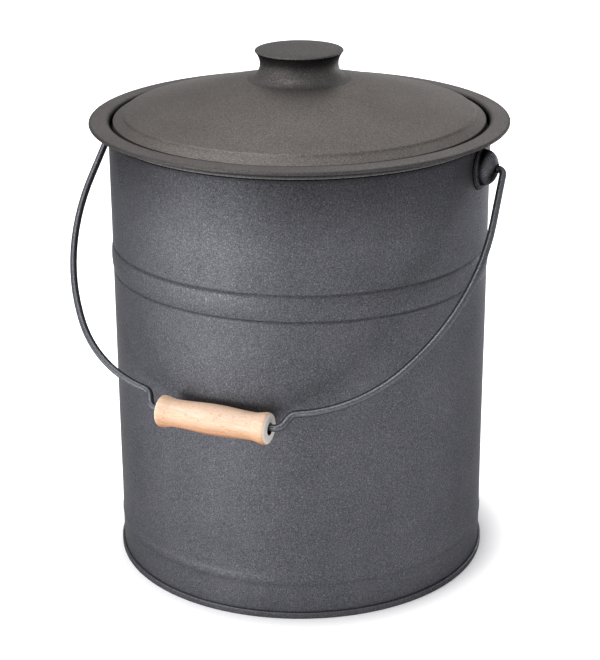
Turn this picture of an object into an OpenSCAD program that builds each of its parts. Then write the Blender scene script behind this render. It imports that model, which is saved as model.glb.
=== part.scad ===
// Lidded ash bucket in coated sheet steel, with a wire bail and a turned wooden grip.
// The origin is the centre of the base on the floor, +Z runs up the bucket's axis,
// the bail's pivot lies along X, and the bail hangs down at -Y with its grip against the wall.

/* [Body] */
// Outside diameter of the rolled wall
body_d = 291; // [250:1:330]
// Height from the floor to the rim's outer edge
rim_h = 352.4; // [300:0.2:420]
// Thickness of the wall's sheet
wall_t = 1; // [0.8:0.1:1.4]
// Distance from the rim down to the middle of the wide bead
bead_drop = 104.8; // [80:0.2:140]
// Height of the wide bead
bead_h = 20; // [14:1:28]
// How far the wide bead stands out
bead_out = 1; // [0.6:0.1:1.5]
// Height of the crease that the roller leaves above and below the wide bead
crease_h = 3; // [2:0.2:4]
// Depth of that crease
crease_in = 0.5; // [0.3:0.1:0.7]
// Height of the small bead that locks the inner bottom
lock_bead_h = 8; // [6:0.5:12]
// How far the small bead stands out
lock_bead_out = 0.5; // [0.3:0.1:0.8]
// Width of the upright lock seam
seam_w = 7; // [5:0.5:10]
// How far the lock seam stands out
seam_out = 1.2; // [0.8:0.1:1.6]
// Where the lock seam is, turned from +X towards +Y in degrees
seam_turn = 125; // [115:1:150]

/* [Base] */
// Height of the double seam at the foot
chime_h = 5; // [4:0.5:8]
// How far the double seam stands out from the wall
chime_out = 1.9; // [1.7:0.1:2.6]
// Thickness of the bottom plate
base_t = 1; // [0.8:0.1:1.2]
// Clear height under the bottom plate
base_lift = 3.5; // [2:0.5:6]
// Height of the inner bottom above the floor
inner_lift = 36; // [28:1:60]
// Depth of the inner bottom's turned-down edge
inner_edge = 9; // [7:0.5:12]

/* [Rim] */
// Width of the flange outside the wall
flange_w = 14.5; // [12:0.5:17]
// How far the flange rises from its outer edge to the mouth
flange_rise = 1; // [0.6:0.1:3]
// Thickness of the rim's sheet
rim_t = 0.8; // [0.6:0.1:1]
// Diameter of the curl round the flange's outer edge
curl_d = 2.8; // [2.6:0.1:4]
// Diameter of the steel wire inside the curl
rim_wire_d = 1.4; // [1:0.1:1.4]
// Distance from the rim's edge down to the collar's lower edge
collar_drop = 8.1; // [7:0.1:10]
// Radius at which the flange turns down into the mouth
mouth_round = 3; // [2:0.1:3.4]
// Distance from the rim's edge down to the ledge that carries the lid
ledge_drop = 6.4; // [5.8:0.1:7.3]
// Width of that ledge
ledge_w = 7.4; // [5:0.2:10]

/* [Ears] */
// Diameter of each ear's base flange
ear_base_d = 33.6; // [31:0.2:38]
// Diameter of each ear's pressed cup
ear_cup_d = 26.8; // [24:0.2:27.4]
// How far each ear stands out from the wall
ear_out = 12.8; // [11:0.2:15]
// Thickness of the ears' sheet
ear_t = 1; // [0.8:0.1:1.2]
// Radius at which the cup runs into its flange
ear_round = 2.4; // [1.5:0.1:2.6]

/* [Bail] */
// Diameter of the bail's wire
wire_d = 5.4; // [4.6:0.1:6]
// Distance from the pivot to the wire inside the grip
bail_reach = 226.5; // [215:0.5:240]
// Clear length from an ear's tip to the wire's side where it turns down
bail_stand = 2.2; // [1.8:0.1:4]
// How far the bend's corner bows out past the strand at the ear
bulge_out = 6.8; // [3:0.2:10]
// Distance from the pivot to that corner
bulge_drop = 108.6; // [95:0.2:120]
// How far the lower bend's corner lies inside the strand at the ear
shoulder_in = 56; // [48:0.5:64]
// How far the lower bend's corner lies above the grip
shoulder_up = 23.5; // [20:0.5:30]
// Depth of the step that keeps the grip in the middle
recess_h = 12.5; // [10:0.5:16]
// How far the step leans outwards
recess_lean = 5.2; // [2:0.2:8]
// Radius of the small bends, at the ears
ear_bend = 5; // [4:0.2:6]
// Radius of the small bends beside the grip
step_bend = 8; // [6:0.2:9]
// Radius of the large lower bends
shoulder_bend = 114; // [80:1:118]
// Radius of the long side bends
bulge_bend = 190; // [120:1:195]
// Diameter of the upset heads that hold the wire in the ears
head_d = 8.6; // [7.6:0.2:10]
// Thickness of those heads
head_t = 2.4; // [1.8:0.1:3]

/* [Grip] */
// Length of the wooden grip
grip_l = 88; // [80:1:92]
// Diameter of its flared ends
grip_end_d = 23.6; // [22:0.2:28]
// Diameter at its waists
grip_waist_d = 20.4; // [18:0.2:21.6]
// Diameter at its belly
grip_belly_d = 22.6; // [20:0.2:23.4]
// Distance from each end to the waist
grip_waist_at = 13; // [10:0.5:18]
// Diameter of the bore for the wire
grip_bore_d = 8.6; // [7.6:0.2:9.6]
// Radius that rounds the flared ends
grip_round = 2.5; // [1:0.1:4]

/* [Lid] */
// Thickness of the lid's sheet
lid_t = 0.9; // [0.7:0.1:1.2]
// Gap between the lid's edge and the mouth
lid_gap = 1.8; // [1:0.1:2.4]
// Height of the lid's edge above the rim's edge
lid_edge_up = 0.1; // [0:0.1:1.2]
// Width of the sloping band between the lid's edge and the dome
band_w = 7.4; // [5:0.2:10]
// How far that band rises
band_rise = 3.6; // [2:0.1:5]
// Height of the small step from the band to the dome
step_h = 1.7; // [1:0.1:2.4]
// Width of that step
step_w = 0.9; // [0.6:0.1:1.6]
// Rise of the dome from the step to its crown
dome_rise = 30.2; // [20:0.2:40]
// Power that bends the dome's slope: 1 is a cone, 2 is a bowl
dome_power = 1.2; // [1.1:0.05:2]
// Diameter of the flat seat in the crown's middle
seat_d = 24; // [20:0.5:30]

/* [Knob] */
// Diameter of the knob's head
knob_d = 66.2; // [58:0.2:72]
// Diameter of its neck
neck_d = 59.6; // [52:0.2:60]
// Height from the neck's narrowest place to the flat top
knob_head_h = 10.8; // [9:0.2:14]
// Height from the crown's seat to the neck's narrowest place
neck_up = 6.5; // [5:0.1:9]
// Radius of the flare from the neck to the dome
flare_r = 10; // [8:0.2:12]
// Radius of the head's upper edge
head_round = 2; // [1:0.1:3]
// Thickness of the knob's sheet
knob_t = 1.2; // [1:0.1:1.5]
// Diameter of the stud under the knob
stud_d = 6; // [5:0.5:8]
// Diameter of the washer under the lid
washer_d = 18; // [16:0.5:22]
// Thickness of that washer
washer_t = 1.6; // [1.2:0.1:2]
// Width across the nut's flats
nut_w = 10; // [10:0.5:13]
// Thickness of the nut
nut_t = 5; // [4:0.5:7]

/* [Hidden] */
$fn = 144;

// Clearances between pieces of one body, between bodies, and round the wire
seat_gap = 0.1;
move_gap = 0.3;
wire_play = 0.5;
head_play = 0.5;
// How far the wire's straights run into its bends, and how much thicker the bends are
bend_lap = 0.25;
bend_swell = 0.06;
// Steps in the curved stretches of the profiles
arc_steps = 7;
dome_steps = 12;
// Small edges of the folded sheets: the rounded foot, the collar's lower edge, the lip and round of
// the ledge, the metal between the wall's top edge and the flange, and the lid's rounded edge
foot_round = 0.8;
collar_round = 0.3;
ledge_lip = 2.4;
ledge_round = 1;
wall_cover = 1.4;
lid_edge_round = 1;
coat = "#55555a";

body_r = body_d/2;
wall_in_r = body_r - wall_t;
bead_z = rim_h - bead_drop;
lock_bead_z = inner_lift - inner_edge + lock_bead_h/2;
chime_r = body_r + chime_out;

rim_r = body_r + flange_w;
curl_r = curl_d/2;
curl_x = rim_r - curl_r;
curl_z = rim_h - curl_r;
mouth_z = rim_h + flange_rise;
collar_z = rim_h - collar_drop;
collar_in_r = body_r + seat_gap;
collar_r = collar_in_r + rim_t + collar_round;
sleeve_out_r = wall_in_r - seat_gap;
sleeve_r = sleeve_out_r - rim_t;
wall_top = rim_h - rim_t - wall_cover;
ledge_z = rim_h - ledge_drop;

ear_base_r = ear_base_d/2;
ear_cup_r = ear_cup_d/2;
ear_tip = body_r + ear_out;
pivot_z = collar_z - move_gap - ear_base_r;

wire_r = wire_d/2;
bail_u = ear_tip + bail_stand + wire_r;
head_u = ear_tip - ear_t - head_play;
grip_end_r = grip_end_d/2;
grip_sag = grip_bore_d/2 - wire_r - move_gap;
// The grip leans on the wall, and hangs on the wire by the top of its bore
grip_y = body_r + move_gap + grip_end_r;
wire_drop = sqrt(pow(bail_reach, 2) - pow(grip_y, 2));
bail_tilt = atan2(grip_y, wire_drop);
recess_half = grip_l/2 + step_bend;

lid_r = sleeve_r - lid_gap;
lid_edge_z = rim_h + lid_edge_up;
step_r = lid_r - band_w;
step_top = lid_edge_z + band_rise + step_h;
seat_r = seat_d/2;
skirt_z = ledge_z + move_gap;

neck_r = neck_d/2;
head_r = knob_d/2;

// Height of the lid's outer face at radius r from the axis
function dome_z(r) = step_top + dome_rise*(1 - pow(max(r, seat_r)/step_r, dome_power));
// Thickness of the lid's sheet measured straight down through its slope
lid_upright = lid_t/cos(atan2(dome_rise, step_r));
seat_z = dome_z(0);
neck_z = seat_z + neck_up;
knob_top = neck_z + knob_head_h;

// Points of an arc about (x, y) with radius r, from angle a to angle b
function arc(x, y, r, a, b, n = arc_steps) =
    [for (i = [0:n]) [x + r*cos(a + (b - a)*i/n), y + r*sin(a + (b - a)*i/n)]];
// The same list, last point first
function turned(list) = [for (i = [len(list) - 1:-1:0]) list[i]];

// How far the wall stands out at height z: a wide bead between two creases, and the small bead
function bead(z, mid, h, out) = abs(z - mid) < h/2 ? out*(1 - pow(2*(z - mid)/h, 2)) : 0;
function crease(z, mid) = abs(z - mid) < crease_h/2 ? -crease_in*(1 + cos(360*(z - mid)/crease_h))/2 : 0;
function wall_shift(z) =
    bead(z, bead_z, bead_h, bead_out) + bead(z, lock_bead_z, lock_bead_h, lock_bead_out)
    + crease(z, bead_z - bead_h/2) + crease(z, bead_z + bead_h/2);
wall_foot = base_t + seat_gap;
wall_levels = concat([wall_foot],
    [for (i = [-3:3]) lock_bead_z + i*lock_bead_h/6],
    [for (i = [-2:2]) bead_z - bead_h/2 + i*crease_h/4],
    [for (i = [-2:2]) bead_z + i*(bead_h - crease_h)/6],
    [for (i = [-2:2]) bead_z + bead_h/2 + i*crease_h/4],
    [wall_top]);

// A ring with the given section: points of [radius, height]
module turned_ring(section) rotate_extrude() polygon(section);

// The rolled wall, with its beads, the hem inside the double seam and the upright lock seam
module body_wall() {
    hem_r = chime_r - base_t - seat_gap;
    seam_foot = chime_h + move_gap;
    seam_top = collar_z - move_gap;
    color(coat) {
        turned_ring(concat(
            [for (z = wall_levels) [body_r + wall_shift(z), z]],
            [for (z = turned(wall_levels)) [wall_in_r + wall_shift(z), z]]));
        rotate_extrude() translate([body_r - wall_t/2, wall_foot])
            square([hem_r - body_r + wall_t/2, chime_h - wall_foot - seat_gap]);
        rotate([0, 0, seam_turn]) intersection() {
            translate([0, -seam_w/2, seam_foot]) cube([rim_r, seam_w, seam_top - seam_foot]);
            difference() {
                cylinder(r = body_r + seam_out, h = rim_h);
                translate([0, 0, -1]) cylinder(r = body_r - (wall_t + crease_in)/2, h = rim_h + 2);
            }
        }
    }
}

// The outer bottom: a raised disc whose edge is folded round the foot of the wall
module bottom_plate() {
    leg_r = wall_in_r - seat_gap;
    color(coat) turned_ring([
        [0, base_lift], [leg_r - base_t, base_lift],
        [leg_r - base_t, foot_round/2], [leg_r - base_t + foot_round/2, 0],
        [chime_r - foot_round, 0], [chime_r, foot_round], [chime_r, chime_h - foot_round/2],
        [chime_r - foot_round/2, chime_h],
        [chime_r - base_t, chime_h], [chime_r - base_t, base_t], [leg_r, base_t],
        [leg_r, base_lift + base_t], [0, base_lift + base_t]]);
}

// The inner bottom, a second floor over an air space, with its edge turned down behind the small bead
module inner_bottom() {
    edge_r = wall_in_r - seat_gap;
    foot_z = inner_lift - inner_edge;
    color(coat) turned_ring(concat(
        [[0, inner_lift], [edge_r - 2*base_t, inner_lift]],
        [[edge_r - base_t, inner_lift - base_t], [edge_r - base_t, foot_z], [edge_r, foot_z]],
        arc(edge_r - 2*base_t, inner_lift - base_t, 2*base_t, 0, 90),
        [[0, inner_lift + base_t]]));
}

// The pressed rim: a flange curled round a wire, a collar outside the wall, a sleeve inside it,
// and the ledge that the lid rests on
module rim_ring() {
    top_in = sleeve_r + mouth_round;
    lip_r = sleeve_r - ledge_w;
    color(coat) rotate_extrude() difference() {
        union() {
            // Flange, rounded over into the mouth, with collar and sleeve either side of the wall
            polygon(concat(
                [[curl_x, rim_h]],
                arc(top_in, mouth_z - mouth_round, mouth_round, 90, 180),
                [[sleeve_r, ledge_z], [lip_r + ledge_round, ledge_z], [lip_r, ledge_z - ledge_round]],
                [[lip_r, ledge_z - ledge_lip], [lip_r + rim_t, ledge_z - ledge_lip]],
                [[lip_r + rim_t, ledge_z - rim_t], [sleeve_out_r, ledge_z - rim_t]],
                [[sleeve_out_r, wall_top + seat_gap], [collar_in_r, wall_top + seat_gap]],
                [[collar_in_r, collar_z]],
                [[collar_r - collar_round, collar_z], [collar_r, collar_z + collar_round]],
                [[collar_r, mouth_z - 1.5*rim_t], [curl_x, rim_h - 1.2*rim_t]]));
            translate([curl_x, curl_z]) circle(d = curl_d, $fn = 48);
        }
        translate([curl_x, curl_z]) circle(d = rim_wire_d + 2*seat_gap, $fn = 48);
    }
}

// The wire that the rim's edge is curled round
module rim_wire() {
    color("#8d8f92") rotate_extrude() translate([curl_x, curl_z]) circle(d = rim_wire_d, $fn = 48);
}

// Section of an ear's cup, as [distance from the pivot's axis, height above the bucket's axis]
function cup_section(inset, lip) = concat(
    [[0, body_r - 4*ear_t], [ear_cup_r + lip, body_r - 4*ear_t]],
    lip > 0 ? arc(ear_cup_r + lip, body_r + seat_gap + ear_t + lip, lip, 270, 180) : [],
    [for (i = [0:8]) let(a = cup_sweep*i/8)
        [(ear_cup_r - inset)*cos(a), cup_root + (cup_rise - inset)*sin(a)/sin(cup_sweep)]],
    [[0, ear_tip - inset]]);
cup_sweep = 72;
cup_root = body_r + seat_gap + ear_t + ear_round;
cup_rise = ear_tip - cup_root;

// One pressed ear at +X: a saddle flange on the wall and a cup whose tip guides the wire
module ear() {
    color(coat) difference() {
        union() {
            intersection() {
                translate([body_r/2, 0, pivot_z]) rotate([0, 90, 0]) cylinder(d = ear_base_d, h = body_r);
                cylinder(r = body_r + seat_gap + ear_t, h = rim_h);
            }
            translate([0, 0, pivot_z]) rotate([0, 90, 0]) turned_ring(cup_section(0, ear_round));
        }
        cylinder(r = body_r + seat_gap, h = rim_h);
        translate([0, 0, pivot_z]) rotate([0, 90, 0]) turned_ring(cup_section(ear_t, 0));
        translate([body_r, 0, pivot_z]) rotate([0, 90, 0])
            cylinder(d = wire_d + 2*wire_play, h = 2*ear_out);
    }
}
module ear_right() ear();
module ear_left() mirror([1, 0, 0]) ear();

// Turn from one direction to the next at an inner corner, in degrees, and the bend's tangent length
function heading(a, b) = atan2(b[1] - a[1], b[0] - a[0]);
function wrapped(a) = a > 180 ? a - 360 : a < -180 ? a + 360 : a;
function corner_turn(p, i) = wrapped(heading(p[i], p[i + 1]) - heading(p[i - 1], p[i]));
function tangent(p, r, i) = i == 0 || i == len(p) - 1 ? 0 : r[i]*tan(abs(corner_turn(p, i))/2);

// A wire of diameter d in the XY plane, straight between the corners p and bent to radius r[i] at each.
// The straights run a little way into the bends, which are thicker by a hair, so that they join
module bent_wire(p, r, d) {
    for (i = [0:len(p) - 2]) {
        lap_in = i == 0 ? 0 : bend_lap;
        lap_out = i == len(p) - 2 ? 0 : bend_lap;
        run = norm(p[i + 1] - p[i]) - tangent(p, r, i) - tangent(p, r, i + 1);
        translate([p[i][0], p[i][1], 0]) rotate([0, 0, heading(p[i], p[i + 1])])
            translate([tangent(p, r, i) - lap_in, 0, 0]) rotate([0, 90, 0])
                cylinder(d = d, h = run + lap_in + lap_out, $fn = 32);
    }
    for (i = [1:len(p) - 2]) {
        turn = corner_turn(p, i);
        side = turn > 0 ? 1 : -1;
        translate([p[i][0], p[i][1], 0]) rotate([0, 0, heading(p[i - 1], p[i])])
            translate([-tangent(p, r, i), side*r[i], 0]) rotate([0, 0, side > 0 ? -90 : 90 + turn])
                rotate_extrude(angle = abs(turn)) translate([r[i], 0]) circle(d = d + bend_swell, $fn = 32);
    }
}

// The bail's corners from the middle of the grip to the right ear: [along the pivot, away from it]
bail_half = [[recess_half, bail_reach], [recess_half + recess_lean, bail_reach - recess_h],
    [bail_u - shoulder_in, bail_reach - shoulder_up], [bail_u + bulge_out, bulge_drop], [bail_u, 0],
    [head_u - head_t, 0]];
bail_radii = [step_bend, step_bend, shoulder_bend, bulge_bend, ear_bend, 0];
bail_corners = concat([for (q = turned(bail_half)) [-q[0], q[1]]], bail_half);
bail_bends = concat(turned(bail_radii), bail_radii);

// Lays a flat piece drawn as [along the pivot, away from it] into the hanging bail's plane
module in_bail_plane() translate([0, 0, pivot_z]) rotate([-90 - bail_tilt, 0, 0]) children();

// The bail: one length of wire, stepped at the grip, with its upset heads inside the ears
module bail_wire() {
    color("#3c3c40") in_bail_plane() {
        bent_wire(bail_corners, bail_bends, wire_d);
        for (side = [-1, 1])
            translate([side*(head_u - head_t/2), 0, 0]) rotate([0, 90, 0])
                cylinder(d = head_d, h = head_t, center = true, $fn = 48);
    }
}

// Radius of the grip at distance x from its middle: a belly, two waists and flared ends
grip_half = grip_l/2;
waist_x = grip_half - grip_waist_at;
flare_l = grip_waist_at - grip_round;
function grip_r(x) = abs(x) < waist_x
    ? grip_waist_d/2 + (grip_belly_d - grip_waist_d)/2*(1 + cos(180*x/waist_x))/2
    : grip_waist_d/2 + (grip_end_d - grip_waist_d)/2*(1 - cos(180*(abs(x) - waist_x)/flare_l))/2;

// The turned wooden grip, hanging on the wire by the top of its bore
module grip() {
    body_steps = [for (i = [-10:10]) i*(grip_half - grip_round)/10];
    near = grip_half - grip_round;
    top = grip_r(near) - grip_round;
    color("#d9b184") translate([0, -grip_y, pivot_z - wire_drop - grip_sag]) rotate([0, 90, 0])
        turned_ring(concat(
            [[grip_bore_d/2, -grip_half]],
            [for (i = [0:5]) [top + grip_round*sin(18*i), -near - grip_round*cos(18*i)]],
            [for (x = body_steps) if (abs(x) < near) [grip_r(x), x]],
            [for (i = [5:-1:0]) [top + grip_round*sin(18*i), near + grip_round*cos(18*i)]],
            [[grip_bore_d/2, grip_half]]));
}

// The dome from its seat to the step, raised by a distance
function dome_line(raise) =
    [for (i = [0:dome_steps]) let(r = seat_r + (step_r - seat_r)*i/dome_steps) [r, dome_z(r) + raise]];
// The lid's outer face from the axis to its edge
lid_face = concat(
    [[stud_d/2 + seat_gap, seat_z]],
    dome_line(0),
    [[step_r + step_w, step_top - step_h]],
    arc(lid_r - lid_edge_round, lid_edge_z - lid_edge_round, lid_edge_round, 60, 0, 3));

// The lid: a dome on a stepped band, with an edge that turns down on to the rim's ledge
module lid_shell() {
    color(coat) turned_ring(concat(
        lid_face,
        [[lid_r, skirt_z], [lid_r - lid_t, skirt_z]],
        [[lid_r - lid_t, lid_edge_z - lid_edge_round - lid_t/2]],
        [[step_r + step_w - lid_t/2, step_top - step_h - lid_t]],
        turned(dome_line(-lid_upright)),
        [[stud_d/2 + seat_gap, seat_z - lid_upright]]));
}

// The knob's outer face from its foot up to the axis, drawn in by an inset: one arc flares down
// to the dome's slope, a longer one opens up to the head
foot_angle = atan2(dome_z(neck_r) - dome_z(neck_r + flare_r), flare_r);
head_open = head_r - neck_r;
head_rise = knob_head_h - head_round;
head_arc = (pow(head_open, 2) + pow(head_rise, 2))/(2*head_open);
function knob_face(inset) = concat(
    arc(neck_r + flare_r, neck_z, flare_r + inset, 270 - foot_angle, 180),
    arc(neck_r + head_arc, neck_z, head_arc + inset, 180 - 60/arc_steps, 180 - asin(head_rise/head_arc), 4),
    arc(head_r - head_round, knob_top - head_round, max(head_round - inset, 0.2), 20, 90, 4),
    [[0, knob_top - inset]]);

// The hollow knob, its flared foot spun to the dome's slope
module knob() {
    foot_r = knob_face(0)[0][0];
    color(coat) difference() {
        turned_ring(concat([[0, step_top], [foot_r, step_top]], knob_face(0)));
        turned_ring(concat([[0, 0], [knob_face(knob_t)[0][0] - knob_t, 0]], knob_face(knob_t)));
        turned_ring(concat([[0, 0], [step_r, 0]], turned(dome_line(seat_gap)), [[0, seat_z + seat_gap]]));
    }
}

// The stud welded under the knob's top, which runs down through the lid
washer_z = seat_z - lid_upright - seat_gap;
nut_z = washer_z - washer_t - seat_gap;
module knob_stud() {
    stud_top = knob_top - knob_t - seat_gap;
    stud_end = nut_z - nut_t - stud_d/2;
    color("#a9abae") {
        translate([0, 0, stud_end]) cylinder(d = stud_d, h = stud_top - stud_end, $fn = 48);
        translate([0, 0, stud_top - 2]) cylinder(d = 3*stud_d, h = 2, $fn = 48);
    }
}

// The washer that spreads the nut's pull under the lid
module knob_washer() {
    color("#a9abae") translate([0, 0, washer_z - washer_t]) difference() {
        cylinder(d = washer_d, h = washer_t, $fn = 64);
        translate([0, 0, -1]) cylinder(d = stud_d + 4*seat_gap, h = washer_t + 2, $fn = 48);
    }
}

// The nut that holds the knob
module knob_nut() {
    color("#a9abae") translate([0, 0, nut_z - nut_t]) difference() {
        cylinder(d = nut_w/cos(30), h = nut_t, $fn = 6);
        translate([0, 0, -1]) cylinder(d = stud_d + 2*seat_gap, h = nut_t + 2, $fn = 48);
    }
}

body_wall();
bottom_plate();
inner_bottom();
rim_ring();
rim_wire();
ear_left();
ear_right();
bail_wire();
grip();
lid_shell();
knob();
knob_stud();
knob_washer();
knob_nut();
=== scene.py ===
# %% [markdown]
# # A lidded ash bucket: sheet steel, one bent wire and a turned grip
# An engineering model already says where every piece is and how it moves. This lesson lays a finished
# surface over each of them. The bucket is sheet steel, rolled, pressed and folded, with a charcoal
# powder coat. Its bail is one bent wire, and the grip on it is turned beech.
# Nearly every piece is round about one axis, because it was rolled or pressed between round tools.
# So most shapes here are a profile carried round an axis, worked out as whole arrays of points. Sizes
# of the bucket are in millimetres, and become metres where a grid of points is made.

import bpy
import numpy as np
from mathutils import Matrix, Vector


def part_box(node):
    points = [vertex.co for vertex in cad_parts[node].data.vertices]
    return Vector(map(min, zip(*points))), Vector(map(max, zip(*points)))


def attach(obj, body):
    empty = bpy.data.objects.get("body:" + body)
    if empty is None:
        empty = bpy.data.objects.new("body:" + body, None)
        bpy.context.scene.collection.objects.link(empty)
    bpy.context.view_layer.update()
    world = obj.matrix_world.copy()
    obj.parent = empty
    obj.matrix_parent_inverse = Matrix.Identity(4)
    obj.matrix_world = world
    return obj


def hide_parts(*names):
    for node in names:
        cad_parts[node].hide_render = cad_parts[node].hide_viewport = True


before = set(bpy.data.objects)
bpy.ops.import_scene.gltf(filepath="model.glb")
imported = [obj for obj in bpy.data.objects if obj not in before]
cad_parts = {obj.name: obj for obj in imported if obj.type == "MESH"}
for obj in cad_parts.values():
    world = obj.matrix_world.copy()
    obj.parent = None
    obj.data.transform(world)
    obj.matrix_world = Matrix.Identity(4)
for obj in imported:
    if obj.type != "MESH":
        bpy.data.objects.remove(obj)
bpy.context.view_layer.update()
mm = 0.001
print("pieces:", ", ".join(sorted(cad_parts)))

# %% [markdown]
# ## The camera
# The photograph was taken from a step away with a long lens, looking down on the bucket by about 21
# degrees. Its place comes from fitting the ellipses of the rim and the foot and the straight sides of
# the wall, with the middle of the picture taken as the camera's axis. It is held here as real
# distances. The image is upright, and the focal length belongs to its long side.

# %% Camera
image_height_px = 660
focal_px = 1826.8
sensor = 36.0
camera_turn = np.radians(23.4)
camera_heading = np.radians(23.416)
camera_pitch = np.radians(20.735)
camera_roll = np.radians(-0.284)
camera_reach = 1359.4*mm
camera_height = 692.2*mm

camera_data = bpy.data.cameras.new("camera")
camera_data.sensor_width = sensor
camera_data.lens = sensor*focal_px/image_height_px
camera = bpy.data.objects.new("camera", camera_data)
bpy.context.scene.collection.objects.link(camera)
camera.matrix_world = (
    Matrix.Translation((camera_reach*np.sin(camera_turn), -camera_reach*np.cos(camera_turn), camera_height))
    @ Matrix.Rotation(camera_heading, 4, "Z")
    @ Matrix.Rotation(np.pi/2 - camera_pitch, 4, "X")
    @ Matrix.Rotation(camera_roll, 4, "Z")
)
bpy.context.scene.camera = camera
bpy.context.scene.view_settings.view_transform = "Standard"
print("lens", round(camera_data.lens, 2), "mm")

# %% [markdown]
# ## From a grid of points to a mesh
# A surface here is a grid: each row is a ring of points, round an axis or round a wire, and the rows
# follow one another along a profile or a path. Each small square of the grid becomes a face. Where a
# profile closes, the last row joins the first. Where a row shrinks to one point, as at the middle of
# a bottom, its points are merged. The sign of the volume that the faces enclose tells whether they
# point outwards.

# %% Grids become pieces
sharp_deg = 35


def grid_faces(rows, columns, rows_close):
    """Corner numbers of each square of a grid whose points are numbered row by row. The last column joins
    the first and, with rows_close, the last row joins the first too."""
    row = np.arange(rows if rows_close else rows - 1)[:, None]
    column = np.arange(columns)[None, :]
    next_row = (row + 1) % rows
    next_column = (column + 1) % columns
    corners = [row*columns + column, row*columns + next_column,
               next_row*columns + next_column, next_row*columns + column]
    return np.stack(np.broadcast_arrays(*corners), -1).reshape(-1, 4)


def enclosed(points, faces):
    """Volume inside a closed mesh of quads: the sum over its triangles of corner A dot (B cross C), over
    six. It is negative where the faces point inwards."""
    a, b, c, d = (points[faces[:, i]] for i in range(4))
    return (np.einsum("ij,ij->i", a, np.cross(b, c)) + np.einsum("ij,ij->i", a, np.cross(c, d))).sum()/6


def piece(name, grid, rows_close, body, stands_for):
    """Makes one object from a grid of points in metres. The object rides on a body and stands for CAD nodes,
    which it hides. Edges between faces that meet at more than sharp_deg stay sharp."""
    rows, columns = grid.shape[:2]
    points = grid.reshape(-1, 3)
    faces = grid_faces(rows, columns, rows_close)
    if enclosed(points, faces) < 0:
        faces = faces[:, ::-1]
    _, first, number = np.unique(np.round(points, 8), axis=0, return_index=True, return_inverse=True)
    faces = number.ravel()[faces]
    kept = faces != np.roll(faces, 1, axis=1)
    sizes = kept.sum(1)
    real = sizes > 2
    mesh = bpy.data.meshes.new(name)
    mesh.vertices.add(len(first))
    mesh.vertices.foreach_set("co", points[first].ravel())
    corner = faces[real][kept[real]]
    mesh.loops.add(len(corner))
    mesh.loops.foreach_set("vertex_index", corner)
    mesh.polygons.add(int(real.sum()))
    mesh.polygons.foreach_set("loop_start", np.concatenate([[0], np.cumsum(sizes[real])[:-1]]))
    mesh.update(calc_edges=True)
    mesh.validate()
    mesh.shade_smooth()
    mesh.set_sharp_from_angle(angle=np.radians(sharp_deg))
    made = bpy.data.objects.new(name, mesh)
    bpy.context.scene.collection.objects.link(made)
    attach(made, body)
    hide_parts(*stands_for)
    print(f"{name}: {len(mesh.polygons)} faces")
    return made


# %% [markdown]
# ## Profiles of folded sheet
# A press tool never leaves a sharp fold. So an outline is written as its corners, each with the radius
# that the tool gives it, and `rounded` puts in the arcs. Sheet metal is the same thickness all
# along: `sheet` follows one face of it and comes back along the other.

# %% Rounded outlines and sheet sections
def rounded(corners, closed=False, step_deg=11):
    """Points of an outline whose corners are (x, y, radius). The arc in a corner touches both its sides:
    its centre lies on the line that halves the corner, at radius over the sine of half the corner's
    angle, and it turns through 180 degrees less that angle. It cuts the corner off, so the corner is
    written a little outside the finished outline. Only the few corners are looped over."""
    places = np.array(corners, float)
    count, points = len(places), []
    for i, (x, y, radius) in enumerate(places):
        here = np.array((x, y))
        if radius == 0 or (not closed and i in (0, count - 1)):
            points.append(here[None])
            continue
        before = places[i - 1, :2] - here
        after = places[(i + 1) % count, :2] - here
        before /= np.linalg.norm(before)
        after /= np.linalg.norm(after)
        half = np.arccos(np.clip(before @ after, -1, 1))/2
        middle = here + (before + after)/np.linalg.norm(before + after)*radius/np.sin(half)
        start = here + before*radius/np.tan(half) - middle
        sweep = np.pi - 2*half
        side = np.sign(before[1]*after[0] - before[0]*after[1])
        steps = max(2, int(np.ceil(np.degrees(sweep)/step_deg)))
        angle = np.arctan2(start[1], start[0]) + side*sweep*np.linspace(0, 1, steps + 1)
        points.append(middle + radius*np.stack([np.cos(angle), np.sin(angle)], -1))
    return np.concatenate(points)


def arc(x, y, radius, start_deg, end_deg, steps=12):
    """Points of a circle's arc about (x, y): x plus radius times cosine, y plus radius times sine."""
    angle = np.radians(np.linspace(start_deg, end_deg, steps + 1))
    return np.stack([x + radius*np.cos(angle), y + radius*np.sin(angle)], -1)


def sheet(line, thickness):
    """Closed section of a sheet: a face line, then the same line moved to its right by the thickness and
    taken backwards. The direction to the right is the line's own direction turned by -90 degrees."""
    along = np.gradient(line, axis=0)
    along /= np.linalg.norm(along, axis=1, keepdims=True)
    right = np.stack([along[:, 1], -along[:, 0]], -1)
    other = line + right*np.broadcast_to(thickness, len(line))[:, None]
    return np.concatenate([line, other[::-1]])


def turned(section, angles):
    """Carries a section of [radius, height] in mm round the upright axis, as a grid in metres: x is the
    radius times the cosine of the angle, and y is the radius times its sine."""
    radius, height = section[:, 0, None], section[:, 1, None]
    return np.stack([radius*np.cos(angles), radius*np.sin(angles), height + 0*angles], -1)*mm


round_steps = 384
full_turn = np.linspace(0, 2*np.pi, round_steps, endpoint=False)

# %% [markdown]
# ## The wall
# One sheet is rolled into a tube, its two edges are hooked together in an upright lock seam at the
# back, and a wheel rolls a wide bead into it at seven tenths of its height. A small bead near the foot
# locks the inner bottom in place. Each bead is a parabola in height. The wheel's edges leave a narrow
# crease above and below the wide one, and these creases are the two dark lines of the photograph.
# A hand-sized panel of thin sheet is never quite flat, so a few very shallow waves are added. The grid
# is fine over the beads and at the seam's edges, and coarse where the wall is plain.

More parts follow.
